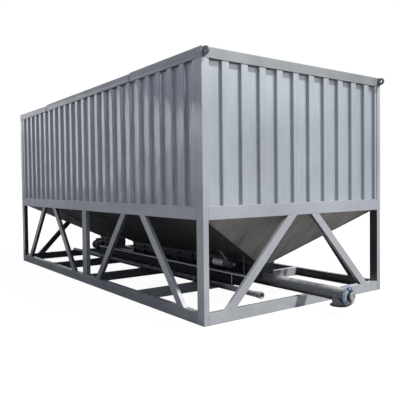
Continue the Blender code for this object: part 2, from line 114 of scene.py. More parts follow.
# Shared by the paints. The first is painted shade for faces that look into the base or down. EVEN leaves a
# noise unstretched
INNER_PAINTED_SHADE = (0.03, 0.032, 0.036)
RUST = (0.16, 0.062, 0.025)
COAT_IOR = 1.65
EVEN = (1.0, 1.0, 1.0)

# Floor: how it throws light back, and its look to the camera
FLOOR_BOUNCE = 0.22
FLOOR_BASE = 0.08
FLOOR_GLOW = 0.96

# Studio that the paint mirrors. The front half has bands and a slanted soft box
LOW_BAND = (0.3, 0.32, 0.37)
SOFT_BOX_LOW = (1.3, 1.33, 1.41)
SOFT_BOX = (1.58, 1.6, 1.67)
GAP_BAND = (0.16, 0.18, 0.28)
UPPER_BAND = (0.58, 0.63, 0.78)
HAZE_BAND = (0.66, 0.69, 0.76)
SOFT_BOX_TILT = 0.267

# The right half, from below to above, and its far part
RIGHT_LOW = (0.98, 1.02, 1.1)
RIGHT_HORIZON = (1.5, 1.56, 1.66)
RIGHT_HIGH = (2.5, 2.6, 2.74)
RIGHT_FAR = (0.3, 0.32, 0.36)

# The rest of the studio, and the even light on what isn't mirrored
SURROUND = (0.88, 0.92, 1.0)
OVERHEAD = (2.1, 2.15, 2.25)
EVEN_LIGHT = (0.44, 0.465, 0.52)

# Sun and camera. The turn is yaw, pitch and roll in degrees, and the lens is in millimetres
SUN_ENERGY = 6.0
SUN_PLACE = (1.0, 0.65, 1.6)
CAMERA_PLACE = (7.6551, -4.8484, 1.5545)
CAMERA_TURN = (54.084, -1.737, -0.676)
LENS = 45.91

X_AXIS = Vector((1, 0, 0))
Y_AXIS = Vector((0, 1, 0))
Z_AXIS = Vector((0, 0, 1))


# Materials

def add_node(tree, kind, inputs=(), **settings):
    """Adds a shader node. Inputs give a socket, by name or number, its value or the socket it reads."""
    made = tree.nodes.new("ShaderNode" + kind)
    for setting, value in settings.items():
        setattr(made, setting, value)
    for key, value in dict(inputs).items():
        if isinstance(value, bpy.types.NodeSocket):
            tree.links.new(value, made.inputs[key])
        else:
            made.inputs[key].default_value = value
    return made


def mix_colour(tree, share, first, second):
    """Mixes two colours, each a socket or red, green and blue."""
    first, second = [(*value, 1.0) if isinstance(value, tuple) else value for value in (first, second)]
    return add_node(tree, "Mix", {0: share, 6: first, 7: second}, data_type="RGBA").outputs[2]


def maths(tree, operation, first, second=0.5):
    """One arithmetic step, held between 0 and 1."""
    return add_node(tree, "Math", {0: first, 1: second}, operation=operation, use_clamp=True).outputs[0]


def maths_free(tree, operation, first, second):
    """One arithmetic step without limits."""
    return add_node(tree, "Math", {0: first, 1: second}, operation=operation).outputs[0]


def plus_part(tree, base, value, part):
    """Adds a part of a value to a base."""
    return add_node(tree, "Math", {0: value, 1: part, 2: base}, operation="MULTIPLY_ADD").outputs[0]


def held(tree, value, low, high, to_low=0.0, to_high=1.0):
    """Carries a value from one range to another and holds it there."""
    ends = {0: value, 1: low, 2: high, 3: to_low, 4: to_high}
    return add_node(tree, "MapRange", ends, clamp=True).outputs[0]


def patches(tree, place, stretch, scale, low, high):
    """A noise that runs from 0 to 1 between two of its values."""
    stretched = add_node(tree, "Mapping", {"Vector": place, "Scale": stretch}).outputs[0]
    look = {"Vector": stretched, "Scale": scale, "Detail": 4.0, "Roughness": 0.6}
    return held(tree, add_node(tree, "TexNoise", look).outputs[0], low, high)


def scaled(colour, factor):
    """A colour made darker or brighter."""
    return tuple(min(1.0, value * factor) for value in colour)


def painted_shade_share(tree, point, facing):
    """Where the painted shade goes: 1 on faces that look into the base or down, 0 on the others."""
    along = maths_free(tree, "MULTIPLY", point["X"], facing["X"])
    inward = held(tree, plus_part(tree, along, point["Y"], facing["Y"]), -0.05, -0.4)
    in_base = held(tree, point["Z"], MIDDLE_RAIL_TOP + 0.02, MIDDLE_RAIL_TOP)
    downward = held(tree, facing["Z"], -0.35, -0.8)
    return maths(tree, "MAXIMUM", maths(tree, "MULTIPLY", inward, in_base), downward)


def painted(
    name, colour, roughness, tone=0.12, streak=0.1, dust=0.35, rust=0.0, metallic=0.0, wave=0.0, coat=0.0,
    coat_roughness=0.07, inner=None, fold=0.0, dust_colour=(0.21, 0.195, 0.175), wave_stretch=(4.5, 4.5, 2.0),
    low_dust=0.55, specular=0.5, run_stretch=(9.0, 9.0, 0.35), under=None, fade=None,
):
    """Sprayed paint on steel, with uneven tone, rain streaks, dust on ledges and some rust.

    inner and under paint shade onto the faces that look into the base and down, fold paints shade on the
    folds of a sheet, wave is the height of swells in metres, and fade gives two places along x and the colour
    at the second.
    """
    material = bpy.data.materials.new(name)
    material.use_nodes = True
    tree = material.node_tree
    shader = tree.nodes["Principled BSDF"]
    for socket, value in (
        ("Metallic", metallic), ("Specular IOR Level", specular), ("Coat Weight", coat),
        ("Coat Roughness", coat_roughness), ("Coat IOR", COAT_IOR),
    ):
        shader.inputs[socket].default_value = value
    place = add_node(tree, "TexCoord").outputs["Object"]
    point = add_node(tree, "SeparateXYZ", {0: place}).outputs
    facing = add_node(tree, "SeparateXYZ", {0: add_node(tree, "NewGeometry").outputs["Normal"]}).outputs

    clouds = patches(tree, place, (1.0, 1.0, 0.6), 1.1, 0.35, 0.65)
    surface = mix_colour(tree, clouds, scaled(colour, 1.0 - tone), scaled(colour, 1.0 + tone))
    runs = patches(tree, place, run_stretch, 1.6, 0.46, 0.72)
    surface = mix_colour(tree, maths(tree, "MULTIPLY", runs, streak), surface, scaled(colour, 0.62))
    if fade:
        fade_from, fade_to, faded = fade
        surface = mix_colour(tree, held(tree, point["X"], fade_from, fade_to), surface, faded)

    ledge = held(tree, facing["Z"], 0.55, 0.95)
    low_down = held(tree, point["Z"], 0.45, 0.0, 0.0, low_dust)
    speckle = patches(tree, place, EVEN, 9.0, 0.35, 0.75)
    dusty = maths(tree, "MULTIPLY", maths(tree, "MAXIMUM", ledge, low_down), speckle)
    surface = mix_colour(tree, maths(tree, "MULTIPLY", dusty, dust), surface, dust_colour)

    if rust:
        stained = patches(tree, place, (1.0, 1.0, 0.45), 4.2, 0.64, 0.74)
        grain = patches(tree, place, EVEN, 60.0, 0.4, 0.65)
        rusty = maths(tree, "MULTIPLY", maths(tree, "MULTIPLY", stained, grain), rust)
        surface = mix_colour(tree, rusty, surface, RUST)
    # Painted shade on faces that look into the base below the middle rail, and on faces that look down
    if inner:
        surface = mix_colour(tree, painted_shade_share(tree, point, facing), surface, inner)
    # Painted shade on the faces that look down
    if under:
        surface = mix_colour(tree, held(tree, facing["Z"], 0.05, -0.5), surface, under)
    # Painted shade on the slanted sides of the ribs
    if fold:
        slant = maths(tree, "ABSOLUTE", maths_free(tree, "MULTIPLY", facing["X"], facing["Y"]))
        folds = maths(tree, "MULTIPLY", held(tree, slant, 0.05, 0.28), fold)
        surface = mix_colour(tree, folds, surface, (colour[0] * 0.36, colour[1] * 0.38, colour[2] * 0.44))
    tree.links.new(surface, shader.inputs["Base Color"])

    gloss = patches(tree, place, (1.0, 1.0, 0.3), 3.0, 0.3, 0.7)
    dull = maths(tree, "ADD", gloss, dusty)
    tree.links.new(held(tree, dull, 0.0, 1.0, roughness * 0.8, roughness * 1.35), shader.inputs["Roughness"])

    peel = add_node(tree, "TexNoise", {"Vector": place, "Scale": 260.0, "Detail": 2.0}).outputs[0]
    bump = add_node(tree, "Bump", {"Strength": 0.25, "Distance": 0.0004, "Height": peel}).outputs[0]
    if wave:
        stretched = add_node(tree, "Mapping", {"Vector": place, "Scale": wave_stretch}).outputs[0]
        swell = add_node(tree, "TexNoise", {"Vector": stretched, "Scale": 1.0, "Detail": 2.0}).outputs[0]
        waves = {"Strength": 1.0, "Distance": wave, "Height": swell, "Normal": bump}
        bump = add_node(tree, "Bump", waves).outputs[0]
    tree.links.new(bump, shader.inputs["Normal"])
    if coat:
        tree.links.new(bump, shader.inputs["Coat Normal"])
    return material


frame_paint = painted(
    "frame_paint", (0.25, 0.262, 0.29), 0.4, rust=0.25, coat=1.0, inner=INNER_PAINTED_SHADE, wave=0.002, dust=0.6,
    dust_colour=(0.12, 0.12, 0.125), low_dust=1.0,
)
end_frame_paint = painted(
    "end_frame_paint", (0.262, 0.276, 0.3), 0.4, rust=0.25, coat=1.0, inner=INNER_PAINTED_SHADE, wave=0.002,
    dust=0.25,
)
side_brace_paint = painted(
    "side_brace_paint", (0.165, 0.18, 0.208), 0.42, tone=0.16, streak=0.2, rust=0.3, coat=0.6,
    inner=INNER_PAINTED_SHADE, dust=0.3,
)
low_rail_paint = painted(
    "low_rail_paint", (0.185, 0.194, 0.216), 0.46, tone=0.16, rust=0.3, coat=0.4, inner=INNER_PAINTED_SHADE,
)
rail_paint = painted(
    "top_rail_paint", (0.186, 0.192, 0.204), 0.42, tone=0.16, streak=0.25, rust=0.3, coat=0.5,
    inner=INNER_PAINTED_SHADE, fade=(0.2, -2.4, (0.43, 0.424, 0.424)),
)
end_rail_paint = painted(
    "end_rail_paint", (0.168, 0.181, 0.184), 0.42, tone=0.22, streak=0.15, rust=0.3, coat=0.5,
    inner=INNER_PAINTED_SHADE, run_stretch=(9.0, 0.5, 22.0),
)
# Its fold setting paints shade on the slanted sides of the ribs
wall_paint = painted(
    "wall_paint", (0.254, 0.264, 0.302), 0.3, streak=0.38, dust=0.25, wave=0.008, coat=1.0,
    coat_roughness=0.03, fold=0.35, wave_stretch=(6.0, 6.0, 2.2),
)
end_wall_paint = painted(
    "end_wall_paint", (0.256, 0.278, 0.304), 0.3, streak=0.24, dust=0.25, wave=0.004, coat=1.0,
    wave_stretch=(4.5, 4.5, 1.6),
)
roof_paint = painted(
    "roof_paint", (0.26, 0.272, 0.3), 0.45, tone=0.18, streak=0.05, dust=0.75, rust=0.35, wave=0.01,
)
lug_paint = painted("lug_paint", (0.11, 0.117, 0.132), 0.45, tone=0.2, rust=0.4, coat=0.3)
hopper_paint = painted(
    "hopper_primer", (0.205, 0.197, 0.187), 0.42, tone=0.46, streak=0.75, dust=0.3, metallic=0.15,
    run_stretch=(0.5, 4.5, 0.35),
)
# A dark copy of the primer, with the shade on the hoppers' front and left plates painted in
hopper_shade_paint = painted("hopper_primer_painted_shade", (0.036, 0.036, 0.037), 0.5, tone=0.3, streak=0.35)
dark_paint = painted(
    "dark_paint", (0.02, 0.023, 0.029), 0.42, tone=0.25, streak=0.2, dust=0.5, rust=0.25, low_dust=0.05,
    specular=0.25,
)
# The pale colour on its ledges is partly dust and partly a painted highlight on the flange tops
bearer_paint = painted(
    "bearer_paint", (0.014, 0.016, 0.021), 0.44, tone=0.25, streak=0.2, dust=0.95, rust=0.2, low_dust=0.0,
    dust_colour=(0.42, 0.41, 0.4), specular=0.1,
)
shade_frame_paint = painted(
    "shade_frame_paint", (0.075, 0.085, 0.102), 0.42, tone=0.2, streak=0.2, dust=0.4, rust=0.2, coat=0.5,
)
edge_paint = painted("edge_paint", (0.3, 0.305, 0.31), 0.4, tone=0.2, dust=0.3, rust=0.3)
# Pale paint for the front bearer's edges, partly wear and partly a painted highlight
worn_edge_and_highlight_paint = painted(
    "worn_edge_and_highlight_paint", (0.62, 0.62, 0.61), 0.4, tone=0.2, dust=0.1, rust=0.3, coat=0.5,
)
worn_paint = painted("worn_paint", (0.12, 0.105, 0.09), 0.5, tone=0.3, rust=0.7)
# Its pale dust on top is partly dust and partly a painted highlight, and its under colour is painted shade on
# the underside
tube_paint = painted(
    "tube_paint", (0.105, 0.111, 0.123), 0.34, tone=0.2, streak=0.15, dust=1.0, rust=0.3, coat=0.7,
    coat_roughness=0.09, wave=0.001, dust_colour=(0.45, 0.45, 0.455), low_dust=0.0,
    under=(0.012, 0.012, 0.014), specular=0.3,
)
blue_paint = painted("blue_paint", (0.105, 0.16, 0.24), 0.38, tone=0.35, streak=0.3, dust=0.4, rust=0.4)
rim_paint = painted("worn_rim", (0.25, 0.305, 0.385), 0.42, tone=0.25, streak=0.2, dust=0.3, rust=0.3)
hub_paint = painted("hub_paint", (0.24, 0.23, 0.225), 0.4, tone=0.4, streak=0.3, dust=0.4, rust=0.7)
cream_paint = painted("bearing_cream", (0.56, 0.56, 0.48), 0.45, tone=0.18, streak=0.2, dust=0.3, rust=0.5)
case_paint = painted("case_paint", (0.06, 0.07, 0.08), 0.36, tone=0.3, streak=0.2, dust=0.4, rust=0.2)
# Near black as painted shade: inside the splice gaps of the top rails and round the shaft neck
painted_shade_dark = painted("painted_shade_dark", (0.016, 0.018, 0.026), 0.35, tone=0.2, dust=0.2)
steel_grey = painted(
    "galvanised", (0.3, 0.305, 0.315), 0.38, tone=0.25, streak=0.15, dust=0.4, metallic=0.55,
)
cylinder_grey = painted(
    "cylinder_grey", (0.88, 0.87, 0.82), 0.4, tone=0.15, streak=0.15, dust=0.2, rust=0.3, coat=0.8,
)
# Its pale dust on top is partly dust and partly a painted highlight, and the fade to near black inward of x
# 2.25 is painted shade under the hoppers
pipe_paint = painted(
    "pipe_paint", (0.215, 0.217, 0.225), 0.36, tone=0.25, streak=0.15, dust=1.0,
    dust_colour=(0.72, 0.72, 0.71), low_dust=0.0, specular=0.3, fade=(2.5, 2.25, (0.016, 0.018, 0.021)),
)
bolt_steel = painted("bolt_steel", (0.33, 0.33, 0.325), 0.4, tone=0.25, rust=0.5, metallic=0.6)
weld_paint = painted("weld_paint", (0.225, 0.236, 0.262), 0.45, tone=0.15, rust=0.7, inner=INNER_PAINTED_SHADE)


# Mesh building

def add_box(work, low, high, bevel=0.0):
    """Adds a box between two corners, with its edges rounded by bevel."""
    low, high = Vector(low), Vector(high)
    made = bmesh.ops.create_cube(work, size=1.0)["verts"]
    bmesh.ops.scale(work, verts=made, vec=high - low)
    bmesh.ops.translate(work, verts=made, vec=(low + high) / 2)
    if bevel:
        edges = {edge for vertex in made for edge in vertex.link_edges}
        bmesh.ops.bevel(work, geom=list(edges), offset=bevel, segments=2, profile=0.6, affect="EDGES")


def add_block(work, corners):
    """Adds a solid with six faces. Of its three directions, the last runs first through the corners."""
    made = [work.verts.new(corner) for corner in corners]
    for face in ((0, 1, 3, 2), (4, 6, 7, 5), (0, 4, 5, 1), (2, 3, 7, 6), (0, 2, 6, 4), (1, 5, 7, 3)):
        work.faces.new([made[k] for k in face])


def join_rings(work, first, second):
    """Adds the faces between two closed rings with equally many points."""
    for k in range(len(first)):
        after = (k + 1) % len(first)
        work.faces.new((first[k], first[after], second[after], second[k]))


def join_sections(work, rings, closed=False):
    """Joins cross-sections along a line. A line that isn't closed gets an end face at both ends."""
    for first, second in zip(rings, rings[1:]):
        join_rings(work, first, second)
    if closed:
        join_rings(work, rings[-1], rings[0])
    else:
        work.faces.new(rings[0])
        work.faces.new(rings[-1][::-1])


def around(axis, angle):
    """The direction across an axis, at an angle."""
    across = axis.orthogonal().normalized()
    return across * math.cos(angle) + axis.cross(across) * math.sin(angle)


def add_side_boxes(work, x0, x1, near, far, low, high, bevel=0.0):
    """Adds two boxes that mirror each other, between two distances from the middle plane."""
    add_box(work, (x0, -far, low), (x1, -near, high), bevel)
    add_box(work, (x0, near, low), (x1, far, high), bevel)


def add_turned(work, base, axis, profile, sides):
    """Turns (radius, height) points about an axis. A radius of 0 closes an end."""
    base, axis = Vector(base), Vector(axis).normalized()
    rays = [around(axis, math.tau * k / sides) for k in range(sides)]
    rings = []
    for radius, height in profile:
        centre = base + axis * height
        reaches = [ray * radius for ray in rays] if radius else [Vector()]
        rings.append([work.verts.new(centre + reach) for reach in reaches])
    for first, second in zip(rings, rings[1:]):
        for k in range(sides):
            after = (k + 1) % sides
            corners = (
                first[k % len(first)], first[after % len(first)],
                second[after % len(second)], second[k % len(second)],
            )
            work.faces.new(list(dict.fromkeys(corners)))
    return rings


def add_ring(work, base, axis, outer, inner, thickness, sides):
    """Adds a flat ring."""
    section = ((inner, 0), (outer, 0), (outer, thickness), (inner, thickness))
    rings = add_turned(work, base, axis, section, sides)
    join_rings(work, rings[3], rings[0])


def add_bolt(work, base, axis, size):
    """Adds a washer and a hexagon head."""
    base, axis = Vector(base), Vector(axis).normalized()
    add_turned(work, base, axis, ((0, 0), (size * 1.15, 0), (size * 1.15, size * 0.18), (0, size * 0.18)), 16)
    head = [(0, 0), (0.92, 0), (0.92, 0.6), (0.75, 0.72), (0, 0.72)]
    head = [(size * radius, size * height) for radius, height in head]
    add_turned(work, base + axis * size * 0.18, axis, head, 6)


def add_bolt_ring(work, centre, axis, radius, count, size, start):
    """Adds a circle of bolts, from a start angle on."""
    for k in range(count):
        ray = around(axis, start + math.tau * k / count)
        add_bolt(work, Vector(centre) + ray * radius, axis, size)


def add_bead(work, start, end, side_a, side_b, size=0.006, step=0.01):
    """Adds a rippled weld bead along a corner between two faces."""
    start, end = Vector(start), Vector(end)
    side_a, side_b = Vector(side_a).normalized(), Vector(side_b).normalized()
    along = end - start
    count = max(2, int(along.length / step))
    rings = []
    for k in range(count + 1):
        centre = start + along * (k / count)
        ripple = 1.0 + 0.16 * math.sin(k * 2.1) + 0.1 * math.sin(k * 0.73 + start.x * 9.0)
        reach = size * ripple
        middle = (side_a + side_b).normalized() * reach * 0.85
        rings.append([work.verts.new(centre + offset) for offset in (
            -(side_a + side_b) * 0.0005, side_a * reach, middle, side_b * reach
        )])
    join_sections(work, rings)


def place_in_scene(name, data):
    """Makes an object of a mesh, lamp or camera and puts it in the scene."""
    made = bpy.data.objects.new(name, data)
    bpy.context.scene.collection.objects.link(made)
    return made


def finish_piece(name, work, material, replaced=(), smooth_angle=35.0):
    """Makes a bmesh into a piece that rides on the silo and may stand for CAD nodes."""
    bmesh.ops.recalc_face_normals(work, faces=work.faces)
    mesh = bpy.data.meshes.new(name)
    work.to_mesh(mesh)
    work.free()
    mesh.shade_smooth()
    mesh.set_sharp_from_angle(angle=math.radians(smooth_angle))
    piece = place_in_scene(name, mesh)
    mesh.materials.append(material)
    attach(piece, "root")
    if replaced:
        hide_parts(*replaced)
    return piece


def dress_node(node, material, edge):
    """Paints a CAD node and rounds its edges."""
    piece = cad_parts[node]
    piece.data.materials.clear()
    piece.data.materials.append(material)
    if edge:
        weld = piece.modifiers.new("weld", "WELD")
        weld.merge_threshold = 0.00005
        bevel = piece.modifiers.new("rounded_edges", "BEVEL")
        bevel.width = edge
        bevel.segments = 2
        bevel.limit_method = "ANGLE"
        bevel.angle_limit = math.radians(30)
        bevel.harden_normals = False


# Walls

def rounded_corner(before, corner, after):
    """Points of an arc that rounds one fold of a sheet, in plan."""
    first = (before - corner).normalized()
    second = (after - corner).normalized()
    half = first.angle(second) / 2
    back = min(FOLD_RADIUS / math.tan(half), 0.45 * (before - corner).length, 0.45 * (after - corner).length)
    start, end = corner + first * back, corner + second * back
    shares = [k / FOLD_STEPS for k in range(FOLD_STEPS + 1)]
    return [start * (1 - t) ** 2 + corner * 2 * t * (1 - t) + end * t ** 2 for t in shares]


def drifted(place, drift):
    """A rib's place along the wall, shifted as the welded sheets lie."""
    for (start, first), (end, second) in zip(drift, drift[1:]):
        if place <= end:
            return place + first + (second - first) * (place - start) / (end - start)
    return place + drift[-1][1]


def sheet_line(span, ribs, pitch, drift):
    """Plan line of a corrugated sheet with rounded folds: place along it and depth."""
    face = pitch * RIB_FACE_SHARE
    first = (span - (ribs - 1) * pitch - face) / 2
    faces = [(0.0, first + face - pitch + drift[0][1])]
    for rib in range(ribs):
        start = drifted(first + rib * pitch, drift)
        faces.append((start, start + face))
    faces.append((drifted(first + ribs * pitch, drift), span))
    corners = []
    for start, end in faces:
        corners += ((start - RIB_SLOPE, RIB_DEPTH), (start, 0.0), (end, 0.0), (end + RIB_SLOPE, RIB_DEPTH))
    corners = [Vector(corner) for corner in corners[1:-1]]
    line = [corners[0]]
    for before, corner, after in zip(corners, corners[1:], corners[2:]):
        line.extend(rounded_corner(before, corner, after))
    line.append(corners[-1])
    return line


def add_wall(node, along, inward, paint, ribs, pitch, drift):
    """Makes one corrugated wall with rounded folds and slightly uneven sheet."""
    low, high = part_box(node)
    span = abs((high - low).dot(along))
    origin = Vector((
        low.x if along.x or inward.x > 0 else high.x,
        low.y if along.y or inward.y > 0 else high.y,
        low.z,
    ))
    line = sheet_line(span, ribs, pitch, drift)
    normals = []
    for k, point in enumerate(line):
        direction = line[min(k + 1, len(line) - 1)] - line[max(k - 1, 0)]
        normals.append(Vector((-direction.y, direction.x)).normalized())
    work = bmesh.new()
    outlines = []
    for row in range(SHEET_ROWS + 1):
        z = (high.z - low.z) * row / SHEET_ROWS
        edge_ease = min(1.0, row, SHEET_ROWS - row)
        skins = []
        for thickness in (0.0, SHEET):
            skins.append([])
            for point, normal in zip(line, normals):
                swell = noise.noise(Vector((point.x * 2.3, z * 1.1, low.x + low.y * 3.0)))
                place = point + normal * thickness
                depth = place.y + swell * SHEET_WAVE * edge_ease + SHEET_WAVE
                skins[-1].append(work.verts.new(origin + along * place.x + inward * depth + Z_AXIS * z))
        # The outline at this level runs along the outer skin and back along the inner one
        outlines.append(skins[0] + skins[1][::-1])
    for lower, upper in zip(outlines, outlines[1:]):
        join_rings(work, lower, upper)
    for outline in (outlines[0], outlines[-1]):
        for k in range(len(line) - 1):
            work.faces.new((outline[k], outline[k + 1], outline[-k - 2], outline[-k - 1]))
    sheet = finish_piece(node + "_sheet", work, paint, (node,), smooth_angle=60.0)
    flat_faces = sheet.modifiers.new("flat_faces", "WEIGHTED_NORMAL")
    flat_faces.weight = 80
    flat_faces.keep_sharp = True


add_wall("wall_front", X_AXIS, Y_AXIS, wall_paint, *LONG_SHEET)
add_wall("wall_back", X_AXIS, -Y_AXIS, wall_paint, *LONG_SHEET)
add_wall("wall_left", Y_AXIS, X_AXIS, end_wall_paint, *END_SHEET)
add_wall("wall_right", Y_AXIS, -X_AXIS, end_wall_paint, *END_SHEET)


# Frame members that keep their CAD shape

# The first row whose names start a node's name paints that node and rounds its edges
NODE_PAINTS = (
    (("bottom_rail_front", "bottom_rail_back"), low_rail_paint, 0.003),
    (("cross_beam_1", "cross_beam_2"), shade_frame_paint, 0.003),
    (("bottom_rail", "brace_left", "brace_right", "cross_beam"), end_frame_paint, 0.003),
    (("brace_front_4", "corner_post", "middle_rail"), frame_paint, 0.003),
    (("brace", "middle_post"), side_brace_paint, 0.003),
    (("top_rail_left", "top_rail_right"), end_rail_paint, 0.003),
    (("lifting_lug",), lug_paint, 0.002),
    (("bearer",), bearer_paint, 0.002),
    # The hoppers' front and left plates take the primer's dark copy, with their shade painted in
    (("hopper_large_front", "hopper_large_left"), hopper_shade_paint, 0.0),
    (("hopper_small_front", "hopper_small_left"), hopper_shade_paint, 0.0),
    (("hopper",), hopper_paint, 0.0),
)
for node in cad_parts:
    for starts, paint, edge in NODE_PAINTS:
        if node.startswith(starts):
            dress_node(node, paint, edge)
            break


# Long top rails and the roof, in three spliced lengths

def top_lengths():
    """The three lengths of the top: both ends, and how far each end hangs low and starts high."""
    reach = HALF_LENGTH - HAIRLINE
    starts = [(-reach, 0.0, 0.0)] + [(x + gap / 2, 0.0, 0.0) for x, gap, drop in SPLICES]
    ends = [(x - gap / 2, drop, SPLICE_LIFT) for x, gap, drop in SPLICES] + [(reach, 0.0, 0.0)]
    return list(zip(starts, ends))


def add_channel_length(work, y_sign, start, end, mitre_start, mitre_end):
    """Adds one length of a top rail as a channel with rounded outer edges."""
    height = FRAME_TOP - TOP_RAIL_BOTTOM
    edge = 0.003
    section = (
        (0, edge), (edge * 0.3, edge * 0.3), (edge, 0), (RAIL_DEPTH, 0), (RAIL_DEPTH, STEEL), (STEEL, STEEL),
        (STEEL, height - STEEL), (RAIL_DEPTH, height - STEEL), (RAIL_DEPTH, height), (edge, height),
        (edge * 0.3, height - edge * 0.3), (0, height - edge),
    )
    rings = []
    for (x, drop, lift), shift in ((start, mitre_start), (end, -mitre_end)):
        squeeze = (height - drop - lift) / height
        low = TOP_RAIL_BOTTOM + lift
        rings.append([
            work.verts.new((x + shift * depth, y_sign * (HALF_WIDTH - depth), low + z * squeeze))
            for depth, z in section
        ])
    join_sections(work, rings)


def add_long_top_rail(side, y_sign):
    """Makes a long top rail in three lengths, with a backing plate in each splice painted dark as the shade
    in the gap.
    """
    work = bmesh.new()
    for k, (start, end) in enumerate(top_lengths()):
        add_channel_length(work, y_sign, start, end, 1 if k == 0 else 0, 1 if k == 2 else 0)
    finish_piece(f"top_rail_{side}_lengths", work, rail_paint, (f"top_rail_{side}",))

    work = bmesh.new()
    for x, gap, drop in SPLICES:
        back = sorted((y_sign * (HALF_WIDTH - STEEL - 0.0004), y_sign * (HALF_WIDTH - STEEL - 0.008)))
        add_box(
            work, (x - 0.08, back[0], TOP_RAIL_BOTTOM + STEEL + 0.006),
            (x + 0.08, back[1], FRAME_TOP - drop - STEEL - 0.001), 0.001,
        )
    finish_piece(f"top_rail_{side}_splice_plates", work, painted_shade_dark)


def add_roof():
    """The roof plate in three sheets that follow the lengths of the long top rails."""
    work = bmesh.new()
    reach = HALF_WIDTH - STEEL
    for start, end in top_lengths():
        corners = []
        for x, drop, lift in (start, end):
            x = max(-HALF_LENGTH + STEEL, min(HALF_LENGTH - STEEL, x))
            for y in (-reach, reach):
                for level in (HAIRLINE, 0.005):
                    corners.append((x, y, FRAME_TOP - drop + level))
        add_block(work, corners)
    finish_piece("roof_sheets", work, roof_paint, ("roof",))

    work = bmesh.new()
    for x, gap, drop in SPLICES:
        top = FRAME_TOP - drop
        inner = HALF_WIDTH - RAIL_DEPTH - 0.001
        add_box(work, (x - 0.06, -inner, top - 0.007), (x + 0.06, inner, top - 0.0008), 0.001)
        reach = gap / 2 - 0.001
        outer = HALF_WIDTH - STEEL - 0.009
        add_side_boxes(work, x - reach, x + reach, inner + 0.0005, outer, top - 0.01, top - 0.002, 0.001)
    finish_piece("roof_seam_strips", work, roof_paint)


add_long_top_rail("front", -1)
add_long_top_rail("back", 1)
add_roof()


# Lug rims, frame welds, and the pale edges of the front bearer, part wear and part painted highlight

def add_lug_rims():
    """A worn ring round the eye of each lifting lug, on both of its faces."""
    work = bmesh.new()
    for side in ("front", "back"):
        for end, x_sign in (("left", -1), ("right", 1)):
            low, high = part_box(f"lifting_lug_{side}_{end}")
            for y, out in ((low.y - HAIRLINE, -1), (high.y + HAIRLINE, 1)):
                eye = (x_sign * LUG_EYE_X, y, LUG_EYE_HEIGHT)
                add_ring(work, eye, Y_AXIS * out, 0.026, 0.0185, 0.0035, 24)
    finish_piece("lug_eye_rims", work, edge_paint)


def add_frame_welds():
    """Fillet welds at the feet and heads of the braces, at the posts and under the rails."""
    work = bmesh.new()
    inset = 0.0015
    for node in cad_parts:
        if not node.startswith("brace_"):
            continue
        low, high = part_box(node)
        vertices = [vertex.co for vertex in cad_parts[node].data.vertices]
        on_long_side = "front" in node or "back" in node
        along, across = (X_AXIS, Y_AXIS) if on_long_side else (Y_AXIS, X_AXIS)
        for z, up in ((low.z, 1), (high.z, -1)):
            level = [point for point in vertices if abs(point.z - z) < 0.001]
            places = [point.dot(along) for point in level]
            inner, outer = [pick((point.dot(across) for point in level), key=abs) for pick in (min, max)]
            out = across * math.copysign(1, outer)
            for place, side in ((min(places), -1), (max(places), 1)):
                edge = along * place + Z_AXIS * z
                start, end = edge + out * abs(inner), edge + out * (abs(outer) - inset)
                add_bead(work, start, end, along * side, Z_AXIS * up)
    for x_sign in (-1, 1):
        for y_sign in (-1, 1):
            corner_x = x_sign * (HALF_LENGTH - POST_LENGTH)
            corner_y = y_sign * (HALF_WIDTH - POST_WIDTH)
            for z, up in ((BOTTOM_RAIL_TOP, 1), (MIDDLE_RAIL_BOTTOM, -1)):
                start = (corner_x, y_sign * (HALF_WIDTH - inset), z)
                add_bead(work, start, (corner_x, corner_y, z), (-x_sign, 0, 0), (0, 0, up))
                start = (x_sign * (HALF_LENGTH - inset), corner_y, z)
                end = (x_sign * (HALF_LENGTH - 0.07), corner_y, z)
                add_bead(work, start, end, (0, -y_sign, 0), (0, 0, up))
    finish_piece("frame_welds", work, weld_paint, smooth_angle=80.0)


def add_bearer_edges():
    """Pale edges and the end plate of the front bearer, just proud of its web: partly wear and partly painted
    highlight.
    """
    low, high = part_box("bearer_front")
    face = low.y - HAIRLINE
    plate = 2.298
    work = bmesh.new()
    for z, tall, end in ((low.z + 0.001, 0.008, plate - 0.003), (high.z - 0.017, 0.016, high.x - 0.01)):
        add_box(work, (low.x + 0.01, face - 0.0022, z), (end, face, z + tall), 0.0006)
    add_box(work, (plate, face - 0.008, low.z + 0.03), (plate + 0.01, face, high.z - 0.012), 0.001)
    finish_piece("bearer_front_edges", work, worn_edge_and_highlight_paint)


add_lug_rims()
add_frame_welds()
add_bearer_edges()


# Screw conveyor

def add_conveyor_tube():
    """The smooth conveyor tube with two girth seams."""
    work = bmesh.new()
    profile = [(0, 0), (TUBE_RADIUS - 0.002, 0), (TUBE_RADIUS, 0.002)]
    for seam in (2.05, 4.1):
        profile.extend((
            (TUBE_RADIUS, seam - 0.006), (TUBE_RADIUS + 0.0016, seam - 0.003),
            (TUBE_RADIUS + 0.0016, seam + 0.003), (TUBE_RADIUS, seam + 0.006),
        ))
    length = TUBE_END - TUBE_START
    profile.extend(((TUBE_RADIUS, length - 0.002), (TUBE_RADIUS - 0.002, length), (0, length)))
    add_turned(work, (TUBE_START, 0, TUBE_HEIGHT), X_AXIS, profile, 72)
    finish_piece("conveyor_casing", work, tube_paint, ("conveyor_tube",))


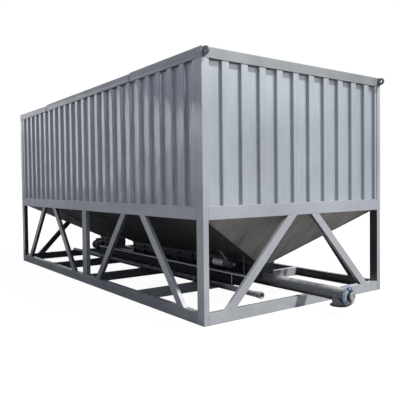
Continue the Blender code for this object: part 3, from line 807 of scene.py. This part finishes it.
def add_end_flange():
    """The worn blue end flange with its counter ring, a shaft neck painted near black as shade, hub and
    bearing.
    """
    centre = Vector((TUBE_END + HAIRLINE, 0, TUBE_HEIGHT))
    front = centre + X_AXIS * 0.0128
    work = bmesh.new()
    add_turned(work, centre, X_AXIS, (
        (0, 0), (0.114, 0), (0.116, 0.002), (0.116, 0.01), (0.114, 0.012), (0.1, 0.012), (0.098, 0.0125),
        (0, 0.0125),
    ), 56)
    add_box(work, centre + Vector((0.0128, -0.036, 0.07)), centre + Vector((0.03, 0.03, 0.108)), 0.004)
    finish_piece("end_flange_plate", work, blue_paint, ("conveyor_end_flange",))

    work = bmesh.new()
    add_ring(work, front, X_AXIS, 0.069, 0.06, 0.009, 48)
    add_ring(work, front, X_AXIS, 0.092, 0.069, 0.007, 48)
    finish_piece("end_flange_ring", work, rim_paint)

    work = bmesh.new()
    add_turned(work, front, X_AXIS, (
        (0, 0), (0.056, 0), (0.056, 0.004), (0.046, 0.01), (0.044, 0.034), (0.046, 0.0385), (0, 0.0385),
    ), 40)
    add_box(work, centre + Vector((0.0222, -0.012, 0.048)), centre + Vector((0.026, 0.05, 0.064)), 0.002)
    finish_piece("end_shaft_neck", work, painted_shade_dark)

    work = bmesh.new()
    add_turned(work, centre + X_AXIS * 0.0516, X_AXIS, (
        (0, 0), (0.048, 0), (0.05, 0.002), (0.05, 0.011), (0.046, 0.015), (0.02, 0.015), (0.016, 0.012),
        (0, 0.012),
    ), 40)
    finish_piece("end_hub", work, hub_paint)

    work = bmesh.new()
    add_box(work, centre + Vector((0.0222, 0.004, -0.086)), centre + Vector((0.056, 0.062, -0.051)), 0.01)
    finish_piece("end_bearing_foot", work, cream_paint)

    work = bmesh.new()
    add_bolt_ring(work, centre + X_AXIS * 0.0124, X_AXIS, 0.106, 10, 0.009, start=0.2)
    for y in (-0.024, 0.018):
        add_bolt(work, centre + Vector((0.0302, y, 0.089)), X_AXIS, 0.009)
    finish_piece("end_flange_bolts", work, bolt_steel)


def add_spout():
    """The outlet spout with its saddle weld and bolted flange."""
    work = bmesh.new()
    base = Vector((SPOUT_X, 0, SPOUT_BOTTOM))
    rings = add_turned(work, base, Z_AXIS, (
        (SPOUT_BORE, 0), (0.0868, 0), (0.0868, 0.01), (SPOUT_RADIUS, 0.0102), (SPOUT_RADIUS, 0.052),
        (SPOUT_BORE, 0.052),
    ), 56)
    join_rings(work, rings[5], rings[0])
    for vertex in rings[4] + rings[5]:
        across = min(abs(vertex.co.y), TUBE_RADIUS - 0.0005)
        drop = math.sqrt(TUBE_RADIUS ** 2 - across ** 2)
        vertex.co.z = TUBE_HEIGHT - drop - 0.0004 if abs(vertex.co.y) < TUBE_RADIUS else TUBE_HEIGHT
    finish_piece("outlet_spout_shell", work, tube_paint, ("outlet_spout",))

    work = bmesh.new()
    add_ring(work, base, Z_AXIS, 0.11, 0.087, 0.01, 56)
    finish_piece("spout_flange", work, dark_paint)

    work = bmesh.new()
    count = 64
    rings = []
    for k in range(count):
        angle = math.tau * k / count
        x = (SPOUT_RADIUS + 0.0035) * math.cos(angle)
        y = SPOUT_RADIUS * math.sin(angle)
        drop = math.sqrt(max(0.0, TUBE_RADIUS ** 2 - y ** 2))
        point = Vector((SPOUT_X + x, y, TUBE_HEIGHT - drop))
        out = Vector((x, y, 0)).normalized()
        size = 0.006 * (1.0 + 0.15 * math.sin(k * 2.3))
        corners = (out, out * 0.5 - Z_AXIS * 0.8, out * -0.8, Z_AXIS * 0.8)
        rings.append([work.verts.new(point + corner * size) for corner in corners])
    join_sections(work, rings, closed=True)
    finish_piece("spout_saddle_weld", work, weld_paint, smooth_angle=80.0)

    work = bmesh.new()
    add_bolt_ring(work, base + Z_AXIS * 0.0102, Z_AXIS, 0.1015, 8, 0.0075, start=math.pi / 8)
    finish_piece("spout_flange_bolts", work, bolt_steel)


def add_drive():
    """The geared motor: gear case with flanges and ribs, finned motor, fan cover and terminal box."""
    low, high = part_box("conveyor_drive")
    case_left, case_right = high.x - 0.18, high.x
    half = 0.115
    work = bmesh.new()
    for x0, x1, reach, bevel in (
        (case_left + 0.012, case_right - 0.014, half - 0.014, 0.018),
        (case_left, case_left + 0.013, half, 0.004), (case_right - 0.015, case_right, half, 0.004),
    ):
        add_box(work, (x0, -reach, TUBE_HEIGHT - reach), (x1, reach, TUBE_HEIGHT + reach), bevel)
    for k in range(4):
        x = case_left + 0.038 + k * 0.034
        reach = half - 0.004
        add_box(work, (x, -reach, TUBE_HEIGHT - 0.08), (x + 0.008, reach, TUBE_HEIGHT + 0.08), 0.002)
    add_turned(work, (case_left + 0.09, 0, TUBE_HEIGHT + half - 0.016), Z_AXIS, (
        (0, 0), (0.016, 0), (0.016, 0.012), (0.01, 0.016), (0.01, 0.026), (0, 0.028),
    ), 20)
    finish_piece("drive_gear_case", work, dark_paint, ("conveyor_drive",))

    motor_left, motor_right = low.x, case_left - 0.0004
    length = motor_right - motor_left
    fins = 28
    work = bmesh.new()
    add_turned(work, (motor_left, 0, TUBE_HEIGHT), X_AXIS, (
        (0, 0.004), (0.03, 0.004), (0.034, 0.0), (0.08, 0.0), (0.09, 0.004), (0.095, 0.014),
        (0.095, 0.07), (0.088, 0.072), (0.082, 0.074), (0.082, length - 0.05), (0.09, length - 0.046),
        (0.093, length - 0.014), (0.093, length), (0, length),
    ), 48)
    for k in range(fins):
        angle = math.tau * (k + 0.5) / fins
        if abs(angle - math.pi / 2) < 0.42:
            continue
        out = Vector((0, math.cos(angle), math.sin(angle)))
        side = X_AXIS.cross(out)
        corners = []
        for x in (motor_left + 0.074, motor_right - 0.048):
            for reach in (0.08, 0.0945):
                for thick in (-0.0014, 0.0014):
                    corners.append(Vector((x, 0, TUBE_HEIGHT)) + out * reach + side * thick)
        add_block(work, corners)
    box = Vector((motor_left + 0.16, 0, TUBE_HEIGHT))
    for x, y, bottom, top, bevel in ((0.055, 0.05, 0.078, 0.136, 0.006), (0.06, 0.055, 0.1362, 0.144, 0.003)):
        add_box(work, box + Vector((-x, -y, bottom)), box + Vector((x, y, top)), bevel)
    finish_piece("drive_motor", work, dark_paint)

    work = bmesh.new()
    for y in (-0.098, 0.098):
        for z in (TUBE_HEIGHT - 0.098, TUBE_HEIGHT + 0.098):
            add_bolt(work, (case_right - 0.0152, y, z), -X_AXIS, 0.01)
            add_bolt(work, (case_left + 0.0132, y, z), X_AXIS, 0.01)
    for x in (motor_left + 0.108, motor_left + 0.212):
        for y in (-0.045, 0.045):
            add_bolt(work, (x, y, TUBE_HEIGHT + 0.144), Z_AXIS, 0.005)
    finish_piece("drive_bolts", work, bolt_steel)


add_conveyor_tube()
add_end_flange()
add_spout()
add_drive()


# Feed boxes, valve and actuator

def add_feed_box(size, outlet):
    """A flanged feed box with side ribs, a lower neck on the tube and rows of bolts."""
    x0, x1 = outlet
    top = OUTLET_BOTTOM - HAIRLINE
    trunk_half, neck_half = 0.13, 0.1
    trunk_bottom, neck_top, neck_bottom = 0.3852, 0.3608, 0.262
    work = bmesh.new()
    add_box(work, (x0, -0.162, top - 0.012), (x1, 0.162, top), 0.002)
    add_box(work, (x0, -trunk_half, trunk_bottom), (x1, trunk_half, top - 0.0122), 0.0015)
    add_box(work, (x0, -0.155, 0.37), (x1, 0.155, 0.385), 0.002)
    add_box(work, (x0 + 0.001, -0.155, 0.361), (x1 - 0.001, 0.155, 0.3698), 0.002)
    beside_tube = math.sqrt(TUBE_RADIUS ** 2 - (neck_bottom - TUBE_HEIGHT) ** 2) + 0.0006
    add_side_boxes(work, x0 + 0.002, x1 - 0.002, beside_tube, neck_half, neck_bottom, neck_top, 0.001)
    for x in (x0 + 0.002, x1 - 0.01):
        add_box(work, (x, -0.09, TUBE_HEIGHT + TUBE_RADIUS + 0.0006), (x + 0.008, 0.09, neck_top))
    count = max(2, round((x1 - x0) / 0.4))
    for k in range(count + 1):
        x = x0 + 0.012 + (x1 - x0 - 0.032) * k / count
        add_side_boxes(work, x, x + 0.008, trunk_half + HAIRLINE, 0.15, 0.3855, top - 0.0125)
        add_side_boxes(work, x, x + 0.008, neck_half + HAIRLINE, 0.148, 0.27, 0.3606)
    finish_piece(f"feed_box_{size}_shell", work, dark_paint, (f"feed_box_{size}",))

    work = bmesh.new()
    steps = max(3, round((x1 - x0) / 0.12))
    for k in range(steps):
        x = x0 + (x1 - x0) * (k + 0.5) / steps
        for y, z, way in ((0.1425, trunk_bottom, 1), (0.1425, neck_top, -1), (0.15, top - 0.0122, -1)):
            add_bolt(work, (x, -y, z), Z_AXIS * way, 0.008)
            add_bolt(work, (x, y, z), Z_AXIS * way, 0.008)
    finish_piece(f"feed_box_{size}_bolts", work, bolt_steel)


def add_actuator():
    """The outlet valve's drive: ribbed barrel, dark gear case, rod and bracket."""
    y, z = ACTUATOR_Y, ACTUATOR_HEIGHT
    x0, x1 = ACTUATOR_START, ACTUATOR_END
    ridges = [0.012 + k * 0.058 for k in range(4)]
    work = bmesh.new()
    profile = [(0, 0), (0.04, 0), (0.042, 0.004)]
    for ridge in ridges:
        profile.extend((
            (0.042, ridge), (0.048, ridge + 0.004), (0.048, ridge + 0.042), (0.042, ridge + 0.046),
        ))
    profile.extend(((0.042, 0.238), (0.038, 0.24), (0, 0.24)))
    add_turned(work, (x0, y, z), X_AXIS, profile, 36)
    finish_piece("actuator_barrel", work, cylinder_grey, ("valve_actuator",))

    work = bmesh.new()
    for ridge in ridges:
        add_ring(work, (x0 + ridge + 0.047, y, z), X_AXIS, 0.045, 0.0424, 0.009, 36)
    add_box(work, (x0 + 0.2403, y - 0.046, z - 0.048), (x0 + 0.39, y + 0.046, z + 0.046), 0.008)
    add_box(work, (x0 + 0.3903, y - 0.04, z - 0.04), (x0 + 0.41, y + 0.04, z + 0.04), 0.004)
    finish_piece("actuator_gear_case", work, case_paint)

    work = bmesh.new()
    add_turned(work, (x0 + 0.4103, y, z), X_AXIS, ((0, 0), (0.012, 0), (0.012, 0.04), (0, 0.04)), 20)
    add_box(work, (x1 - 0.02, y - 0.018, z - 0.018), (x1, y + 0.018, z + 0.018), 0.004)
    for dy in (-0.0306, 0.0306):
        for dz in (-0.0306, 0.027):
            add_bolt(work, (x0 + 0.4103, y + dy, z + dz), X_AXIS, 0.007)
    finish_piece("actuator_rod", work, steel_grey)

    work = bmesh.new()
    top = OUTLET_BOTTOM - 0.0129
    near, far = y + 0.0465, -0.1308
    for left, right, drop in ((1.965, 1.977, 0.0), (2.078, 2.089, 0.0), (1.9772, 2.0778, 0.042)):
        add_box(work, (left, near, top - 0.05), (right, far, top - drop), 0.001)
    finish_piece("actuator_bracket", work, dark_paint)


def hopper_level(y):
    """Height of the underside of the hoppers' front and back plates at y."""
    slope = (MIDDLE_RAIL_BOTTOM - NECK_HEIGHT) / (HALF_WIDTH - RAIL_DEPTH - NECK_HALF_WIDTH)
    return NECK_HEIGHT + (abs(y) - NECK_HALF_WIDTH) * slope


def add_stays():
    """The actuator's hanger, and the stay rod between the front bearer and the hopper."""
    work = bmesh.new()
    ends = ((-0.296, 0.4722), (-0.425, hopper_level(-0.425) - 0.004))
    half = 0.004
    add_block(work, [
        (x, y + side * half, z + side * half) for x in (1.99, 2.03) for y, z in ends for side in (-1, 1)
    ])
    finish_piece("actuator_hanger", work, edge_paint, smooth_angle=20.0)

    work = bmesh.new()
    rod_y = -0.392
    base = 0.3458
    length = hopper_level(rod_y) - 0.003 - base
    add_turned(work, (2.483, rod_y, base), Z_AXIS, (
        (0, 0), (0.018, 0), (0.018, 0.006), (0.0055, 0.0065), (0.0055, length), (0, length),
    ), 16)
    finish_piece("bearer_stay_rod", work, worn_paint)


add_feed_box("large", LARGE_OUTLET)
add_feed_box("small", SMALL_OUTLET)
add_actuator()
add_stays()


# Filling pipe and its clamps

def add_filling_pipe():
    """The open filling pipe with a coupling ring at its outer end, clamped to the cross beams."""
    radius, bore = PIPE_RADIUS, PIPE_BORE
    z = BOTTOM_RAIL_TOP + HAIRLINE + radius
    length = PIPE_END - PIPE_START
    work = bmesh.new()
    profile = (
        (bore, 0.001), (bore + 0.001, 0), (radius - 0.001, 0), (radius, 0.001), (radius, length - 0.001),
        (radius - 0.001, length), (bore + 0.001, length), (bore, length - 0.001), (bore, 0.001),
    )
    add_turned(work, (PIPE_START, PIPE_Y, z), X_AXIS, profile, 36)
    bmesh.ops.remove_doubles(work, verts=work.verts, dist=0.00001)
    finish_piece("filling_pipe_tube", work, pipe_paint, ("filling_pipe",))

    work = bmesh.new()
    for back, outer, long in ((0.03, 0.043, 0.029), (0.075, 0.0415, 0.012)):
        add_ring(work, (PIPE_END - back, PIPE_Y, z), X_AXIS, outer, radius + HAIRLINE, long, 36)
    finish_piece("filling_pipe_coupling", work, bolt_steel)

    work = bmesh.new()
    half, outer, inner = 0.008, radius + 0.0058, radius + 0.0006
    foot = BOTTOM_RAIL_TOP + 0.0006 - z
    strap = [((inner, foot), (outer, foot))]
    for k in range(17):
        reach, rise = math.cos(math.pi * k / 16), math.sin(math.pi * k / 16)
        strap.append(((reach * inner, rise * inner), (reach * outer, rise * outer)))
    strap.append(((-inner, foot), (-outer, foot)))
    for beam in BEAM_PLACES:
        rings = []
        for near, far in strap:
            corners = ((-half, *near), (-half, *far), (half, *far), (half, *near))
            rings.append([work.verts.new((beam + x, PIPE_Y + y, z + rise)) for x, y, rise in corners])
        join_sections(work, rings)
        for y_sign in (-1, 1):
            sides = sorted((PIPE_Y + y_sign * (outer + 0.0004), PIPE_Y + y_sign * (outer + 0.034)))
            low = (beam - 0.014, sides[0], BOTTOM_RAIL_TOP + 0.0005)
            add_box(work, low, (beam + 0.014, sides[1], BOTTOM_RAIL_TOP + 0.0055), 0.001)
            add_bolt(work, (beam, PIPE_Y + y_sign * (outer + 0.018), BOTTOM_RAIL_TOP + 0.0056), Z_AXIS, 0.008)
    finish_piece("pipe_clamps", work, steel_grey)


add_filling_pipe()


# Hopper seams

def add_hopper_welds():
    """Weld seams along the outer corner edges of both hoppers."""
    work = bmesh.new()
    rim_y = HALF_WIDTH - RAIL_DEPTH - HAIRLINE
    rim_x = HALF_LENGTH - RAIL_DEPTH
    for left, right, outlet in ((HOPPERS_MEET, rim_x, LARGE_OUTLET), (-rim_x, HOPPERS_MEET, SMALL_OUTLET)):
        for x_rim, x_outlet in ((left, outlet[0]), (right, outlet[1])):
            for y_sign in (-1, 1):
                start = Vector((x_outlet, y_sign * NECK_HALF_WIDTH, NECK_HEIGHT))
                end = Vector((x_rim, y_sign * rim_y, MIDDLE_RAIL_BOTTOM))
                direction = (end - start).normalized()
                end = end - direction * 0.02
                side_a = direction.cross(Vector((0, y_sign, -0.6))).normalized()
                add_bead(work, start, end, side_a, -side_a + Vector((0, 0, -0.2)), 0.006, 0.014)
    finish_piece("hopper_corner_welds", work, hopper_paint, smooth_angle=80.0)


add_hopper_welds()


# Floor, light and camera

def add_floor():
    """A plain pale floor, bright to the eye and a little darker as a source of bounced light."""
    work = bmesh.new()
    bmesh.ops.create_grid(work, x_segments=1, y_segments=1, size=20.0)
    bmesh.ops.translate(work, verts=work.verts, vec=(0, 0, -0.001))
    mesh = bpy.data.meshes.new("floor")
    work.to_mesh(mesh)
    work.free()
    floor = place_in_scene("floor", mesh)
    material = bpy.data.materials.new("floor_white")
    material.use_nodes = True
    tree = material.node_tree
    bounce = tree.nodes["Principled BSDF"]
    bounce.inputs["Base Color"].default_value = (FLOOR_BOUNCE, FLOOR_BOUNCE, FLOOR_BOUNCE, 1.0)
    bounce.inputs["Roughness"].default_value = 0.9
    seen = add_node(tree, "BsdfPrincipled", {
        "Base Color": (FLOOR_BASE, FLOOR_BASE, FLOOR_BASE, 1.0), "Roughness": 1.0, "Specular IOR Level": 0.0,
        "Emission Color": (1.0, 1.0, 1.0, 1.0), "Emission Strength": FLOOR_GLOW,
    })
    to_camera = add_node(tree, "LightPath").outputs["Is Camera Ray"]
    mix = add_node(tree, "MixShader", {0: to_camera, 1: bounce.outputs[0], 2: seen.outputs[0]})
    tree.links.new(mix.outputs[0], tree.nodes["Material Output"].inputs["Surface"])
    mesh.materials.append(material)


def add_light():
    """A pale studio with a slanted soft box to the front, a bright right half and one soft sun."""
    world = bpy.data.worlds.new("studio")
    bpy.context.scene.world = world
    world.use_nodes = True
    tree = world.node_tree
    place = add_node(tree, "TexCoord").outputs["Generated"]
    x, y, z = add_node(tree, "SeparateXYZ", {0: place}).outputs
    ripple, drips = [
        maths_free(tree, "SUBTRACT", patches(tree, place, (stretch, stretch, 3.0), 1.0, 0.3, 0.7), 0.5)
        for stretch in (9.0, 60.0)
    ]

    # The front half, by how far a direction leans to the right and rises for each step forward
    forward = maths_free(tree, "MAXIMUM", maths_free(tree, "MULTIPLY", y, -1.0), 0.05)
    lean = maths_free(tree, "DIVIDE", x, forward)
    rise = maths_free(tree, "DIVIDE", z, forward)
    rise = plus_part(tree, plus_part(tree, rise, ripple, 0.05), drips, 0.09)
    tilted = plus_part(tree, rise, lean, SOFT_BOX_TILT)
    near = maths(tree, "MULTIPLY", held(tree, lean, -1.83, -1.76), held(tree, rise, 0.125, 0.105))
    far = maths(tree, "MULTIPLY", held(tree, lean, -2.9, -3.0), held(tree, rise, 0.35, 0.31))
    front = mix_colour(tree, held(tree, rise, 0.17, 0.14), SOFT_BOX, SOFT_BOX_LOW)
    front = mix_colour(tree, maths(tree, "MAXIMUM", near, far), front, HAZE_BAND)
    for level, start, end, band in (
        (rise, 0.0, -0.03, LOW_BAND), (tilted, -0.14, -0.12, GAP_BAND), (tilted, -0.065, -0.04, UPPER_BAND),
    ):
        front = mix_colour(tree, held(tree, level, start, end), front, band)

    # The right half, by how far a direction rises for each step to the right
    right_rise = maths_free(tree, "DIVIDE", z, maths_free(tree, "MAXIMUM", x, 0.05))
    right_rise = plus_part(tree, right_rise, ripple, 0.12)
    above, below = held(tree, right_rise, -0.055, -0.035), held(tree, right_rise, -0.005, -0.025)
    right = mix_colour(tree, maths(tree, "MULTIPLY", above, below), RIGHT_LOW, RIGHT_HORIZON)
    right = mix_colour(tree, held(tree, right_rise, 0.15, 0.25), right, RIGHT_HIGH)
    right = mix_colour(tree, held(tree, y, 0.64, 0.8, 0.0, 0.7), right, RIGHT_FAR)

    mirrored = mix_colour(tree, held(tree, x, 0.3, 0.45), SURROUND, right)
    mirrored = mix_colour(tree, held(tree, y, -0.22, -0.27), mirrored, front)
    mirrored = mix_colour(tree, held(tree, z, 0.5, 0.62), mirrored, OVERHEAD)
    path = add_node(tree, "LightPath")
    colour = mix_colour(tree, path.outputs["Is Glossy Ray"], EVEN_LIGHT, mirrored)
    colour = mix_colour(tree, path.outputs["Is Camera Ray"], colour, (1.02, 1.02, 1.02))
    tree.links.new(colour, tree.nodes["Background"].inputs["Color"])

    lamp = bpy.data.lights.new("sun", "SUN")
    lamp.energy = SUN_ENERGY
    lamp.angle = math.radians(5)
    lamp.color = (1.0, 0.985, 0.955)
    sun = place_in_scene("sun", lamp)
    sun.rotation_euler = Vector(SUN_PLACE).to_track_quat("Z", "Y").to_euler()


def add_camera():
    """The photograph's view: at eye level off the right end of the front."""
    yaw, pitch, roll = (math.radians(angle) for angle in CAMERA_TURN)
    matrix = Matrix.Translation(CAMERA_PLACE) @ Matrix.Rotation(yaw, 4, "Z")
    matrix = matrix @ Matrix.Rotation(math.pi / 2 + pitch, 4, "X") @ Matrix.Rotation(roll, 4, "Z")
    lens = bpy.data.cameras.new("camera")
    lens.sensor_width = 36.0
    lens.lens = LENS
    camera = place_in_scene("camera", lens)
    camera.matrix_world = matrix
    bpy.context.scene.camera = camera
    bpy.context.scene.view_settings.view_transform = "Standard"


add_floor()
add_light()
add_camera()
